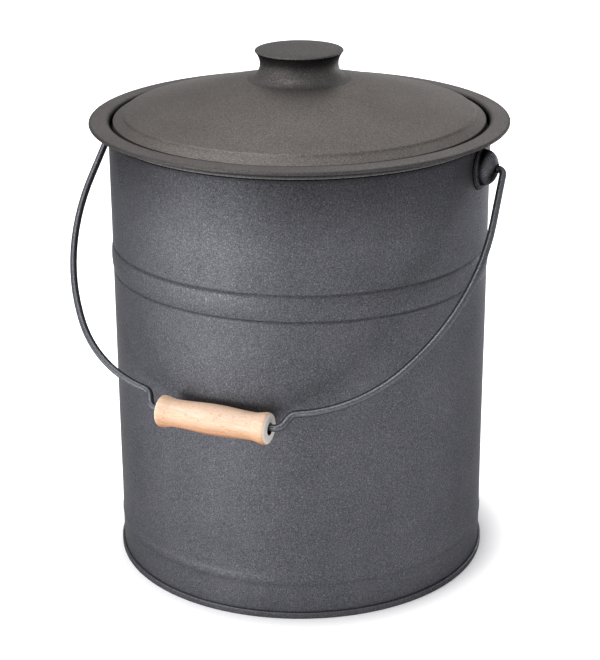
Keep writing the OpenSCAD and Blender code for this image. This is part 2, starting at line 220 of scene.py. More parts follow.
# %% Wall
wall_r = 145.5
wall_t = 1.0
wall_foot = 1.1
wall_top = 350.2
bead_z = 247.6
bead_h = 20.0
bead_out = 1.0
crease_h = 3.0
crease_in = 0.5
lock_bead_z = 31.0
lock_bead_h = 8.0
lock_bead_out = 0.5
seam_turn = np.radians(125)
seam_w = 7.0
seam_out = 1.1
seam_edge = 0.5
seam_low = 5.4
seam_high = 343.9
seam_rise = 2
seam_flat = 0.8
seam_clear = 1.05
wave_in = 0.09
wave_counts = (3, 5, 8, 11)
wave_long = 62
wave_shorter = 3
wave_starts = (12, 70)
wave_ends = (262, 300)
wave_least = 0.2
bead_calm = 40
bead_zone = 12.5
bead_clear = 14


def bead(z, middle, height, out):
    """How far a rolled bead stands out at height z: a parabola, `out` at its middle, zero at its edges."""
    return out*np.clip(1 - (2*(z - middle)/height)**2, 0, None)


def crease(z, middle):
    """A dip one crease high, shaped as a full turn of a cosine."""
    near = np.clip(2*(z - middle)/crease_h, -1, 1)
    return -crease_in*(1 + np.cos(np.pi*near))/2


def smooth(value, low, high):
    """Rises from 0 at low to 1 at high as 3t^2 - 2t^3, with t clipped between 0 and 1."""
    t = np.clip((value - low)/(high - low), 0, 1)
    return t*t*(3 - 2*t)


def wall_shift(z):
    """Distance of the wall from its plain radius at height z, in mm: both beads and both creases."""
    return (bead(z, bead_z, bead_h, bead_out) + bead(z, lock_bead_z, lock_bead_h, lock_bead_out)
            + crease(z, bead_z - bead_h/2) + crease(z, bead_z + bead_h/2))


def waves(angle, z):
    """Shallow waves of the thin sheet: the sum, over the counts k of waves round the wall, of
    sin(k angle + p) sin(z/(wave_long - wave_shorter k) + q). A seeded draw gives the phases p and q. The
    waves fade out towards the stiff foot and rim, and to wave_least of their depth at the wide bead."""
    draw = np.random.default_rng(7)
    total = 0*angle*z
    for across in wave_counts:
        phase = draw.uniform(0, 2*np.pi, 2)
        upward = np.sin(z/(wave_long - wave_shorter*across) + phase[1])
        total = total + np.sin(across*angle + phase[0])*upward
    calm = smooth(z, *wave_starts)*(1 - smooth(z, *wave_ends))
    return wave_in*total*(calm*np.clip(np.abs(z - bead_z)/bead_calm, wave_least, 1))


def seam_shift(angle, z):
    """The lock seam stands out over its width, with edges that rise over half a millimetre."""
    across = np.abs(wall_r*(angle - seam_turn))
    height = smooth(z, seam_low, seam_low + seam_rise)*(1 - smooth(z, seam_high - seam_rise, seam_high))
    return seam_out*(1 - smooth(across, seam_w/2 - seam_edge, seam_w/2))*height


levels = np.concatenate([
    np.linspace(wall_foot, lock_bead_z - lock_bead_h, 5),
    np.linspace(lock_bead_z - lock_bead_h/2, lock_bead_z + lock_bead_h/2, 13),
    np.linspace(lock_bead_z + lock_bead_h, bead_z - bead_clear, 16),
    np.linspace(bead_z - bead_zone, bead_z + bead_zone, 51),
    np.linspace(bead_z + bead_clear, wall_top, 9)])
seam_half_turn = seam_w/2/wall_r
seam_left = -np.linspace(seam_half_turn, seam_half_turn*seam_flat, 5)
seam_right = np.linspace(seam_half_turn*seam_flat, seam_half_turn, 5)
seam_columns = seam_turn + np.concatenate([seam_left, seam_right])
outside_seam = np.abs(full_turn - seam_turn) > seam_half_turn*seam_clear
wall_turn = np.sort(np.concatenate([full_turn[outside_seam], seam_columns]))
height = levels[:, None]
outer = wall_r + wall_shift(height) + waves(wall_turn, height) + seam_shift(wall_turn, height)
inner = wall_r - wall_t + wall_shift(height) + waves(wall_turn, height)
radius = np.concatenate([outer, inner[::-1]])
height = np.concatenate([height, height[::-1]]) + 0*wall_turn
wall_grid = np.stack([radius*np.cos(wall_turn), radius*np.sin(wall_turn), height], -1)*mm
wall = piece("rolled_wall", wall_grid, True, "bucket", ["body_wall"])

# %% [markdown]
# ## The two bottoms
# The outer bottom is a disc that stands a little off the floor. Its edge runs down beside the wall,
# along the floor, up outside the wall and is folded tight on it: the double seam. The inner bottom is
# a second disc higher up, with its edge turned down behind the small bead. The air between them keeps
# the heat of the ash off the floor.

# %% Bottom plate with its double seam, and inner bottom
low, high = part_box("bottom_plate")
chime_r = high.x/mm
chime_h = high.z/mm
plate_t = 1.0
plate_low = 3.5
joint_gap = 0.1
hem_r = wall_r + 0.12
fold_round = 0.9
tight_round = 0.3
leg_r = wall_r - wall_t - joint_gap
plate_section = rounded([
    (0, plate_low, 0), (leg_r - plate_t, plate_low, 1.2), (leg_r - plate_t, 0, fold_round),
    (chime_r, 0, fold_round), (chime_r, chime_h, fold_round), (hem_r, chime_h, tight_round),
    (hem_r, plate_t, tight_round), (leg_r, plate_t, tight_round), (leg_r, plate_low + plate_t, 0.4),
    (0, plate_low + plate_t, 0)])
plate = piece("double_seamed_bottom", turned(plate_section, full_turn), False, "bucket",
              ["bottom_plate"])

low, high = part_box("inner_bottom")
inner_r = high.x/mm
inner_section = sheet(rounded([
    (0, high.z/mm, 0), (inner_r, high.z/mm, 2.5), (inner_r, low.z/mm, 0)]), plate_t)
inner_plate = piece("inner_floor", turned(inner_section, full_turn), False, "bucket",
                    ["inner_bottom"])

# %% [markdown]
# ## The rim
# The rim is one pressed ring. From inside to outside it has a lip and a ledge that carry the lid, an
# upright sleeve, a round shoulder, and a flange that slopes gently down to a curl. The shoulder's
# corner is written mouth_rise above the mouth's height, because its wide arc cuts off about as much.
# The curl is the sheet rolled round a steel wire, which makes the edge stiff and safe to touch. A
# narrow collar hangs from the flange outside the wall. It is a mesh of its own here, with its own
# coat, so that the painted shade at the joint under the flange and the painted shadow line under the
# collar can both be dark, as they are in the photograph.

# %% Rim
low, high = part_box("rim_ring")
rim_r = high.x/mm
mouth_z = high.z/mm
curl_r = 1.4
curl_x = rim_r - curl_r
curl_drop = 1.0
curl_z = mouth_z - curl_drop - curl_r
ledge_z = 346.0
ledge_r = 136.2
lip_z = low.z/mm
sleeve_r = 143.6
mouth_round = 4.5
mouth_rise = 0.38
rim_t = 0.6
collar_low = 343.5
collar_in = wall_r + joint_gap
collar_out = 146.7
collar_top_out = collar_out + 0.6
collar_top = curl_z + curl_r - 0.4
rim_line = np.concatenate([
    rounded([(ledge_r, lip_z, 0), (ledge_r, ledge_z, 1.1), (sleeve_r, ledge_z, 0.8),
             (sleeve_r, mouth_z + mouth_rise, mouth_round), (curl_x, curl_z + curl_r, 0)])[:-1],
    arc(curl_x, curl_z, curl_r, 90, -185, 30)])
collar_section = rounded([
    (collar_in, collar_low, 0.3), (collar_out, collar_low, 0.5), (collar_top_out, collar_top, 0),
    (collar_in, collar_top, 0)], closed=True)
rim_grid = turned(sheet(rim_line, rim_t), full_turn)
rim = piece("pressed_rim", rim_grid, True, "bucket", ["rim_ring"])
collar_grid = turned(collar_section, full_turn)
collar = piece("rim_collar", collar_grid, True, "bucket", ["rim_ring"])

# %% [markdown]
# ## The lid
# The lid is pressed from one disc: a low dome, a small step down to a sloping band, and an edge turned
# down into the mouth. The dome's height falls with the radius to the power of 1.2, which is between a
# cone and a bowl. The step is a tiny ridge, but it catches the light all round the lid.

# %% Lid
low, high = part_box("lid_shell")
lid_r = high.x/mm
skirt_z = low.z/mm
lid_t = 0.9
dome_rise = 30.2
dome_power = 1.2
dome_r = 131
step_r = 133.4
step_w = 0.9
step_top = 357.8
step_low = 356.1
seat_r = 12.0
stud_hole_r = 3.1
edge_z = 352.5


def dome_z(r):
    """Height of the dome at radius r: the step's top plus the rise times 1 - (r over the step's radius)
    to the dome's power, and level inside the knob's seat."""
    return step_top + dome_rise*(1 - (np.maximum(r, seat_r)/step_r)**dome_power)


dome_rs = np.concatenate([[stud_hole_r], np.linspace(seat_r, dome_r, 48)])
dome_line = np.stack([dome_rs, dome_z(dome_rs)], -1)
edge_line = rounded([
    (dome_r, dome_z(dome_r), 0), (step_r - 0.1, step_top + 0.12, 1.6), (step_r + step_w, step_low, 0.7),
    (lid_r - 0.05, edge_z - 0.35, 0.9), (lid_r, skirt_z, 0)])
lid_line = np.concatenate([dome_line, edge_line[1:]])
lid_grid = turned(sheet(lid_line, lid_t), full_turn)
lid = piece("pressed_lid", lid_grid, True, "lid", ["lid_shell"])

# %% [markdown]
# ## The knob
# The knob is a hollow spinning: a flat top with a rounded edge, a side that draws in to a neck and a
# foot that flares out until it lies along the dome. Two arcs make the side. The foot's arc ends where
# its slope is the dome's own, so that no seam shows. The sheet thins to an edge there.

# %% Knob
knob_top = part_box("knob")[1].z/mm
head_r = 33.6
neck_r = 29.8
head_h = 10.8
neck_z = knob_top - head_h
flare_r = 12.0
flare_share = 0.79
head_round = 1.2
top_flat_r = 20
knob_t = 1.2
foot_t = 0.05
foot_gap = 0.02
foot_steps = 8
foot_r = neck_r + flare_r*flare_share
foot_slope = np.degrees(np.arctan2(dome_z(foot_r - 1) - dome_z(foot_r + 1), 2))
flare = arc(neck_r + flare_r, neck_z, flare_r, 270 - foot_slope, 180, 16)
head_open = head_r - neck_r
head_rise = knob_top - head_round - neck_z
side_r = (head_open**2 + head_rise**2)/(2*head_open)
side_end = 180 - np.degrees(np.arcsin(head_rise/side_r))
side = arc(neck_r + side_r, neck_z, side_r, 180, side_end, 8)
crown = np.concatenate([arc(head_r - head_round, knob_top - head_round, head_round, 10, 90, 8)[:-1],
                        [[top_flat_r, knob_top], [0, knob_top]]])
knob_line = np.concatenate([flare, side[1:], crown])
knob_line[:, 1] = np.maximum(knob_line[:, 1], dome_z(knob_line[:, 0]) + foot_gap)
knob_foot_z = knob_line[0, 1]
foot_thin = smooth(np.arange(len(knob_line)), 0, foot_steps)
knob_section = sheet(knob_line[::-1], (foot_t + (knob_t - foot_t)*foot_thin)[::-1])
knob = piece("spun_knob", turned(knob_section, full_turn[::2]), False, "lid", ["knob"])

# %% [markdown]
# ## The ears
# Each ear is a small pressing welded to the wall: a round base flange bent to the wall's curve and a
# cup that bulges out of it, with a hole at its tip for the wire. In its own frame it is a profile of
# height over distance from the ear's axis. On the bucket, the part near the flange drops back with
# the wall's curve, and the tip stays flat.

# %% Ears
low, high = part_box("ear_right")
ear_tip = high.x/mm - wall_r
pivot_z = (low.z + high.z)/2/mm
ear_base_r = (high.z - low.z)/2/mm
ear_cup_r = 13.4
ear_t = 1.0
ear_seat = 0.1
ear_fillet = 2.4
ear_hole_r = 3.2
ear_hole_deep = 1.4
ear_curved_share = 0.6
cup_from_deg = 6
cup_to_deg = 72
cup_angle = np.radians(np.linspace(cup_from_deg, cup_to_deg, 16))
cup_root = ear_seat + ear_t + ear_fillet
cup = np.stack([ear_cup_r*np.cos(cup_angle),
                cup_root + (ear_tip - cup_root)*np.sin(cup_angle)/np.sin(np.radians(cup_to_deg))], -1)
ear_line = np.concatenate([
    rounded([(ear_base_r, ear_seat, 0), (ear_base_r, ear_seat + ear_t, 0.4),
             (ear_cup_r, ear_seat + ear_t, ear_fillet), (ear_cup_r, cup_root + 1.0, 0)])[:-1],
    cup,
    rounded([(ear_hole_r + 1, ear_tip, 0), (ear_hole_r, ear_tip, 0.5),
             (ear_hole_r, ear_tip - ear_hole_deep, 0)])[1:]])


def ear(name, way, stands_for):
    """The ear at +X or, with way -1, at -X. A point at distance d from the ear's axis and angle a round it
    has y = d cos a and z = pivot + d sin a. Its x is the wall's radius plus its height, less the drop of
    the wall's circle at that y, which fades out from the flange to the cup's tip."""
    section = sheet(ear_line, -ear_t)
    far, out = section[:, 0, None], section[:, 1, None]
    turn = full_turn[::4]
    y = far*np.cos(turn)
    drop = wall_r - np.sqrt(wall_r**2 - y**2)
    x = wall_r + out - drop*(1 - smooth(out, ear_curved_share*cup_root, ear_tip))
    grid = np.stack([way*x, y, pivot_z + far*np.sin(turn)], -1)*mm
    return piece(name, grid, True, "bucket", [stands_for])


right_ear = ear("pressed_ear_right", 1, "ear_right")
left_ear = ear("pressed_ear_left", -1, "ear_left")

# %% [markdown]
# ## The bail
# The bail is a single wire bent in one plane: a step on each side of the grip keeps it in the middle,
# long gentle bends follow the bucket, and small bends turn the wire into the ears, where its ends are
# upset into heads. The corners and their bend radii are listed one by one, as on a bending jig, and a
# circle is carried along the path. All of the path lies in one plane, so the circle needs no twist.
# At each end it shrinks to a point, which closes the wire.

# %% Bail
low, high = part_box("grip")
grip_mid_y = (low.y + high.y)/2/mm
grip_mid_z = (low.z + high.z)/2/mm
wire_r = 2.7
wire_sag = 1.3
reach = np.hypot(grip_mid_y, pivot_z - grip_mid_z - wire_sag)
tilt = np.arctan2(-grip_mid_y, pivot_z - grip_mid_z - wire_sag)
stand_u = 163.2
head_u = 154.4
head_r_wire = 4.3
head_l = 2.4
head_slope = 0.3
path_step = 0.6
wire_sides = 24
half_bail = [(52.0, reach, 8), (57.2, reach - 12.5, 8), (107.2, 203.0, 114), (170.0, 108.6, 190),
             (stand_u, 0, 5), (head_u, 0, 0)]
left_half = [(-u, v, r) for u, v, r in half_bail[::-1]]
path = rounded(left_half + half_bail, step_deg=3)


def even(path, spacing):
    """The same path with points at equal steps along its length, found by linear interpolation, and the
    length from its start to each point."""
    length = np.concatenate([[0], np.cumsum(np.linalg.norm(np.diff(path, axis=0), axis=1))])
    steps = np.linspace(0, length[-1], int(length[-1]/spacing))
    return np.stack([np.interp(steps, length, path[:, i]) for i in (0, 1)], -1), steps


path, travelled = even(path, path_step)
from_end = np.minimum(travelled, travelled[-1] - travelled)
thick = wire_r + (head_r_wire - wire_r)*(1 - smooth(from_end, head_l - head_slope, head_l + head_slope))
thick = thick*np.sqrt(np.clip(from_end/path_step, 0, 1))
along = np.gradient(path, axis=0)
along /= np.linalg.norm(along, axis=1, keepdims=True)
aside = np.stack([along[:, 1], -along[:, 0]], -1)
ring = np.linspace(0, 2*np.pi, wire_sides, endpoint=False)
in_plane = path[:, None, :] + thick[:, None, None]*np.cos(ring)[None, :, None]*aside[:, None, :]
off_plane = thick[:, None]*np.sin(ring)
u, v = in_plane[..., 0], in_plane[..., 1]
wire_grid = np.stack([u, -v*np.sin(tilt) + off_plane*np.cos(tilt),
                      pivot_z - v*np.cos(tilt) - off_plane*np.sin(tilt)], -1)*mm
wire = piece("bent_wire_bail", wire_grid, False, "bail", ["bail_wire"])

# %% [markdown]
# ## The grip
# The grip is turned from a beech dowel and bored for the wire: a slight belly, two waists and flared,
# rounded ends. Along it, one half wave of a cosine after another gives the radius, which is carried
# round the grip's own axis. That lies along X.

# %% Grip
low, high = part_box("grip")
grip_half = high.x/mm
grip_end_r = 11.79
grip_waist_r = 10.2
grip_belly_r = 11.3
waist_in = 13.0
grip_round = 2.5
bore_r = 4.3
waist_x = grip_half - waist_in
flare_l = waist_in - grip_round


def grip_radius(x):
    """Radius at distance x from the grip's middle: between the waists a cosine swells to the belly, and
    beyond them another opens to the flared end."""
    x = np.abs(x)
    belly = grip_waist_r + (grip_belly_r - grip_waist_r)*(1 + np.cos(np.pi*x/waist_x))/2
    flare = grip_waist_r + (grip_end_r - grip_waist_r)*(1 - np.cos(np.pi*(x - waist_x)/flare_l))/2
    return np.where(x < waist_x, belly, flare)


body_x = np.linspace(-(grip_half - grip_round), grip_half - grip_round, 61)
end = arc(grip_half - grip_round, grip_end_r - grip_round, grip_round, 90, 0, 10)
bore = rounded([(grip_half, grip_end_r - grip_round, 0), (grip_half, bore_r, 0.5), (-grip_half, bore_r, 0.5),
                (-grip_half, grip_end_r - grip_round, 0)])
grip_section = np.concatenate([
    np.stack([body_x, grip_radius(body_x)], -1), end[1:], bore[1:-1], end[1:][::-1]*[-1, 1]])
turn = full_turn[::4]
along_x, far = grip_section[:, 0, None], grip_section[:, 1, None]
grip_grid = np.stack([along_x + 0*turn, grip_mid_y + far*np.cos(turn), grip_mid_z + far*np.sin(turn)], -1)*mm
grip = piece("turned_beech_grip", grip_grid, True, "grip", ["grip"])

# %% [markdown]
# ## Making materials
# Every finish is a small tree of nodes. Colours are written the way a paint card gives them, as sRGB
# hex values, and one function turns them into the linear light that the renderer counts in. The size
# of each pattern starts from a real size in millimetres: a noise with features `size` across has a
# scale of one over that size in metres. A Mix node for colours takes its share at input 0 and the two
# colours at inputs 6 and 7, and gives the result at output 2.

# %% Colour and node helpers
def linear(hex_colour):
    """Linear RGBA of an sRGB hex colour. A channel c from 0 to 1 is c/12.92 up to 0.04045, and above it
    ((c + 0.055)/1.055) to the power of 2.4."""
    c = np.array([int(hex_colour[i:i + 2], 16) for i in (1, 3, 5)])/255
    return (*np.where(c <= 0.04045, c/12.92, ((c + 0.055)/1.055)**2.4).tolist(), 1.0)


def per_metre(size_mm):
    """Scale of a texture whose features are this many millimetres across."""
    return 1/(size_mm*mm)


def add(tree, kind, settings=(), inputs=()):
    """Adds a node. Settings are its properties. An input is a value, or another node's socket to link."""
    made = tree.nodes.new("ShaderNode" + kind)
    for name, value in dict(settings).items():
        setattr(made, name, value)
    for name, value in dict(inputs).items():
        if isinstance(value, bpy.types.NodeSocket):
            tree.links.new(value, made.inputs[name])
        else:
            made.inputs[name].default_value = value
    return made


def new_material(name):
    """An empty material, its node tree, its output node and Object coordinates."""
    material = bpy.data.materials.new(name)
    material.use_nodes = True
    tree = material.node_tree
    tree.nodes.clear()
    return material, tree, add(tree, "OutputMaterial"), add(tree, "TexCoord").outputs["Object"]


def ramp(tree, factor, stops):
    """A colour ramp through stops of (position, sRGB hex colour)."""
    made = add(tree, "ValToRGB", inputs={"Fac": factor})
    elements = made.color_ramp.elements
    while len(elements) < len(stops):
        elements.new(1.0)
    for element, (position, colour) in zip(elements, stops):
        element.position = position
        element.color = linear(colour)
    return made.outputs["Color"]


mixed_by_share = {"data_type": "RGBA"}
multiplied = {"data_type": "RGBA", "blend_type": "MULTIPLY"}

# %% [markdown]
# ## Powder coat
# Powder coat is polyester powder baked on to the steel. This one is a metallic charcoal with a fine
# sand texture. Aluminium flakes in the resin make most of its reflection metallic: bright near the
# direction in which a mirror would send the light, and dark towards a grazing view, which painters
# call flop. The specular tint holds down the reflection of a metal near grazing, so it sets the flop.
# Grains of about a millimetre speckle it. Their colour follows their bump and is darker in the
# hollows, which is painted shade at the scale of the grains. Single flakes glint. A broad and faint
# unevenness lies over it all.
# Grooves, undercuts and the gaps between parts are darkened in the colour itself: this is painted shade. An
# Ambient
# Occlusion node finds them: it tells how open the surface is within 12 or 25 mm. How strongly they
# darken was set by the shade that the photograph shows there, and so was a band of painted shade on the
# wall that darkens up to the rim's collar. So some of the photograph's shade belongs to the coats, and
# stays with them in any other light.

# %% Powder coat
clouds_mm = 45
flakes_mm = 0.8
shade_fade = 10
edge_fade = 2.5
flake_colour = "#a2a2a4"
curl_shade_colour = "#b0b0b0"


def powder_coat(name, dark, light, grain_mm=1.1, rough=0.5, metal=0.8, own=True, near_mm=25,
                deep="#3c3c3c", closed=0.6, shade_from=None, rim_shade_from=None, curl_shade_r=None):
    """A sand-textured coat: a ramp from the dark to the light shade over fine grains, shifted a little by
    a broad unevenness, with the same grains as bump and in the roughness, and lighter flakes on top. The
    colour is multiplied by a painted shade for recesses, which is `deep` where the openness is `closed`.
    Openness is measured over near_mm, against the piece's own surface or, with own False, against every
    surface. Above the height shade_from, that painted shade fades in over shade_fade. With rim_shade_from, a
    painted shade also darkens the coat from that height up to the line under the rim's collar, and a
    painted shadow line lies just under the collar. With curl_shade_r, a painted shade darkens it over the
    last edge_fade up to that distance from the bucket's axis. All of these are in mm."""
    material, tree, output, place = new_material(name)
    grains = add(tree, "TexNoise", inputs={
        "Vector": place, "Scale": per_metre(grain_mm), "Detail": 2.0, "Roughness": 0.65}).outputs["Fac"]
    clouds = add(tree, "TexNoise", inputs={
        "Vector": place, "Scale": per_metre(clouds_mm), "Detail": 3.0, "Roughness": 0.55}).outputs["Fac"]
    both = add(tree, "Math", {"operation": "MULTIPLY_ADD"}, {0: clouds, 1: 0.25, 2: grains}).outputs[0]
    shifted = add(tree, "Math", {"operation": "SUBTRACT"}, {0: both, 1: 0.125}).outputs[0]
    # The speckle is the coat's own; its darkening in the grains' hollows is painted shade.
    colour = ramp(tree, shifted, [(0.22, dark), (0.78, light)])
    glints = add(tree, "TexNoise", inputs={"Vector": place, "Scale": per_metre(flakes_mm), "Detail": 0.0})
    flake = add(tree, "MapRange", inputs={
        "Value": glints.outputs["Fac"], "From Min": 0.62, "From Max": 0.74, "To Max": 0.2}).outputs[0]
    colour = add(tree, "Mix", mixed_by_share, {0: flake, 6: colour, 7: linear(flake_colour)}).outputs[2]
    # Painted shade: the colour darkens where the surface is closed in.
    openness = add(tree, "AmbientOcclusion", {"samples": 8, "only_local": own}, {"Distance": near_mm*mm})
    shade = ramp(tree, openness.outputs["AO"], [(closed, deep), (0.97, "#ffffff")])
    above_floor = add(tree, "SeparateXYZ", inputs={"Vector": place}).outputs["Z"]
    share = 1.0
    if shade_from:
        share = add(tree, "MapRange", inputs={
            "Value": above_floor, "From Min": shade_from*mm,
            "From Max": (shade_from + shade_fade)*mm}).outputs[0]
    colour = add(tree, "Mix", multiplied, {0: share, 6: colour, 7: shade}).outputs[2]
    # Painted shade: a band darkening up to the rim's collar, and a painted shadow line just under it.
    if rim_shade_from:
        up = add(tree, "MapRange", inputs={
            "Value": above_floor, "From Min": rim_shade_from*mm, "From Max": wall_top*mm}).outputs[0]
        line = (collar_low - rim_shade_from)/(wall_top - rim_shade_from)
        rim_shade = ramp(tree, up, [(0.0, "#ffffff"), (line - 0.07, "#b8b8b8"), (line - 0.022, "#929292"),
                               (line - 0.012, "#303030")])
        colour = add(tree, "Mix", multiplied, {0: 1.0, 6: colour, 7: rim_shade}).outputs[2]
    # Painted shade: the front of the rim's curl darkens towards its edge.
    if curl_shade_r:
        level = add(tree, "VectorMath", {"operation": "MULTIPLY"}, {0: place, 1: (1, 1, 0)}).outputs[0]
        from_axis = add(tree, "VectorMath", {"operation": "LENGTH"}, {0: level}).outputs["Value"]
        at_edge = add(tree, "MapRange", inputs={
            "Value": from_axis, "From Min": (curl_shade_r - edge_fade)*mm, "From Max": curl_shade_r*mm}).outputs[0]
        colour = add(tree, "Mix", multiplied, {0: at_edge, 6: colour, 7: linear(curl_shade_colour)}).outputs[2]
    roughness = add(tree, "MapRange", inputs={
        "Value": grains, "From Min": 0.3, "From Max": 0.7, "To Min": rough + 0.06, "To Max": rough - 0.06})
    bump = add(tree, "Bump", inputs={"Height": grains, "Strength": 0.3, "Distance": 0.12*mm})
    shader = add(tree, "BsdfPrincipled", inputs={
        "Base Color": colour, "Roughness": roughness.outputs[0], "Normal": bump.outputs[0],
        "Metallic": metal, "Specular Tint": (0.3, 0.3, 0.3, 1), "Specular IOR Level": 0.25})
    tree.links.new(shader.outputs[0], output.inputs["Surface"])
    return material


# Every coat darkens its recesses with painted shade. The wall's also has a band of painted shade under the
# rim.
wall_coat = powder_coat("powder coat, wall", "#323337", "#5b5b60", rim_shade_from=290)
body_coat = powder_coat("powder coat, cool charcoal", "#323337", "#5b5b60")
# The rim's coat has a painted shade in the gap round the lid, and on the front of its curl.
rim_coat = powder_coat("powder coat, rim", "#494644", "#716d6c", own=False, near_mm=12, deep="#060606",
                       closed=0.66, curl_shade_r=rim_r)
# The collar's coat has a strong painted shade under the flange; its colours are lighter than the rim's, as
# painted light on the strip in view.
collar_coat = powder_coat("powder coat, collar", "#545353", "#807f7f", own=False, near_mm=12,
                          deep="#040404", closed=0.855)
lid_coat = powder_coat("powder coat, warm charcoal", "#484341", "#716d6b", near_mm=12)
# The knob's coat has a near-black painted shade under its head, fading in above its foot.
knob_coat = powder_coat("powder coat, knob", "#3c3939", "#5b5757", rough=0.55, metal=0.65,
                        deep="#000000", closed=0.85, shade_from=knob_foot_z + 5)
# The ears' coat has a painted shade in the cup's root and at the flange's edge next to the wall.
ear_coat = powder_coat("powder coat, ears", "#343539", "#5d5d62", own=False, near_mm=12, deep="#060606",
                       closed=0.84)
wire_coat = powder_coat("powder coat, wire", "#37383c", "#606166", grain_mm=0.9, rough=0.34)

# %% [markdown]
# ## Beech
# Beech is a pale, close-grained wood, cream to peach. Along the grain it shows faint broad streaks of
# growth, a fine fibre, and its mark: short brown flecks a few millimetres long and half a millimetre
# wide, which are the wood's rays. The grain runs along X, so each noise is squeezed in X. Towards its
# lower side the grip turns darker and redder, in streaks, which is painted shade on its underside.
# Cut across, at the grip's ends, the wood shows only small pores, and it is made near white there,
# which is painted light on the end faces. The bore's wall is painted nearly black as shade.

# %% Beech
underside_low = -7
underside_high = 2


def beech(name):
    """Turned and sanded beech, with its grain along X. Between two heights below and above the grip's axis
    it takes on a darker, redder wood as painted shade on its underside, near-white end grain near its
    flat ends as painted light, and a bore painted dark as shade."""
    material, tree, output, place = new_material(name)

    def grain(length_mm, width_mm, detail):
        """Noise with features of one length along X and another across it."""
        squeezed = add(tree, "Mapping", inputs={
            "Vector": place, "Scale": (per_metre(length_mm), per_metre(width_mm), per_metre(width_mm))})
        return add(tree, "TexNoise", inputs={
            "Vector": squeezed.outputs[0], "Scale": 1.0, "Detail": detail, "Roughness": 0.6}).outputs["Fac"]

    streaks = grain(70, 4, 2.0)
    fibre = grain(14, 0.5, 2.0)
    flecks = grain(3.4, 0.55, 1.0)
    wood = ramp(tree, streaks, [(0.3, "#e0bf9f"), (0.5, "#e7c8af"), (0.7, "#ecd1be")])
    fibres = ramp(tree, fibre, [(0.35, "#ebdfd3"), (0.6, "#ffffff")])
    fleck = ramp(tree, flecks, [(0.62, "#ffffff"), (0.74, "#c08a5e")])
    colour = add(tree, "Mix", multiplied, {0: 0.6, 6: wood, 7: fibres}).outputs[2]
    colour = add(tree, "Mix", multiplied, {0: 0.75, 6: colour, 7: fleck}).outputs[2]
    grip_middle = (0, grip_mid_y*mm, grip_mid_z*mm)
    centred = add(tree, "VectorMath", {"operation": "SUBTRACT"}, {0: place, 1: grip_middle}).outputs[0]
    parts = add(tree, "SeparateXYZ", inputs={"Vector": centred})
    # Painted shade: the underside turns darker and redder, in streaks.
    underside_shade_wood = ramp(tree, streaks, [(0.4, "#e6cab0"), (0.6, "#c89a74")])
    underside_shade = add(tree, "MapRange", inputs={
        "Value": parts.outputs["Z"], "From Min": underside_low*mm, "From Max": underside_high*mm,
        "To Min": 1.0, "To Max": 0.0}).outputs[0]
    colour = add(tree, "Mix", multiplied, {0: underside_shade, 6: colour, 7: underside_shade_wood}).outputs[2]
    # Painted light: the end faces are made near white.
    pores = add(tree, "TexNoise", inputs={"Vector": place, "Scale": per_metre(0.9), "Detail": 1.0})
    lit_end_wood = ramp(tree, pores.outputs["Fac"], [(0.3, "#f8ebda"), (0.5, "#fffaf2")])
    from_middle = add(tree, "Math", {"operation": "ABSOLUTE"}, {0: parts.outputs["X"]}).outputs[0]
    at_end = add(tree, "MapRange", inputs={
        "Value": from_middle, "From Min": (grip_half - 1.2)*mm, "From Max": (grip_half - 0.3)*mm}).outputs[0]
    colour = add(tree, "Mix", mixed_by_share, {0: at_end, 6: colour, 7: lit_end_wood}).outputs[2]
    # Painted shade: the bore's wall is nearly black.
    across = add(tree, "CombineXYZ", inputs={"Y": parts.outputs["Y"], "Z": parts.outputs["Z"]}).outputs[0]
    from_axis = add(tree, "VectorMath", {"operation": "LENGTH"}, {0: across}).outputs["Value"]
    bore_shade = add(tree, "MapRange", inputs={
        "Value": from_axis, "From Min": (bore_r + 0.1)*mm, "From Max": (bore_r + 0.5)*mm,
        "To Min": 1.0, "To Max": 0.0}).outputs[0]
    colour = add(tree, "Mix", mixed_by_share, {0: bore_shade, 6: colour, 7: linear("#1c130c")}).outputs[2]
    bump = add(tree, "Bump", inputs={"Height": fibre, "Strength": 0.25, "Distance": 0.06*mm})
    shader = add(tree, "BsdfPrincipled", inputs={
        "Base Color": colour, "Roughness": 0.55, "IOR": 1.45, "Specular IOR Level": 0.35,
        "Normal": bump.outputs[0]})
    tree.links.new(shader.outputs[0], output.inputs["Surface"])
    return material


grip_wood = beech("beech, turned and oiled")

# %% [markdown]
# ## Zinc plated steel
# The stud, washer and nut under the knob, and the wire inside the rim's curl, are zinc plated: a pale
# grey metal with a satin face and faint cloudy patches a few millimetres across. The first three show
# only under a lifted lid, and the wire lies hidden in the curl. Their plain solids have the right
# shape already, so they only take the finish.

# %% Zinc
def zinc(name):
    """Zinc plate: a metal whose colour and roughness drift with patches a few millimetres across."""
    material, tree, output, place = new_material(name)
    patches = add(tree, "TexNoise", inputs={
        "Vector": place, "Scale": per_metre(3), "Detail": 3.0}).outputs["Fac"]
    scratches = add(tree, "TexNoise", inputs={
        "Vector": place, "Scale": per_metre(0.4), "Detail": 2.0}).outputs["Fac"]
    colour = ramp(tree, patches, [(0.35, "#9a9da2"), (0.65, "#c4c7ca")])
    roughness = add(tree, "MapRange", inputs={
        "Value": patches, "From Min": 0.3, "From Max": 0.7, "To Min": 0.32, "To Max": 0.48})
    bump = add(tree, "Bump", inputs={"Height": scratches, "Strength": 0.2, "Distance": 0.02*mm})
    shader = add(tree, "BsdfPrincipled", inputs={
        "Base Color": colour, "Metallic": 1.0, "Roughness": roughness.outputs[0], "Normal": bump.outputs[0]})
    tree.links.new(shader.outputs[0], output.inputs["Surface"])
    return material


bare_steel = zinc("zinc plated steel")

# %% [markdown]
# ## The finishes go on
# Each finished piece takes its material. The four plain solids swap their material for the zinc.

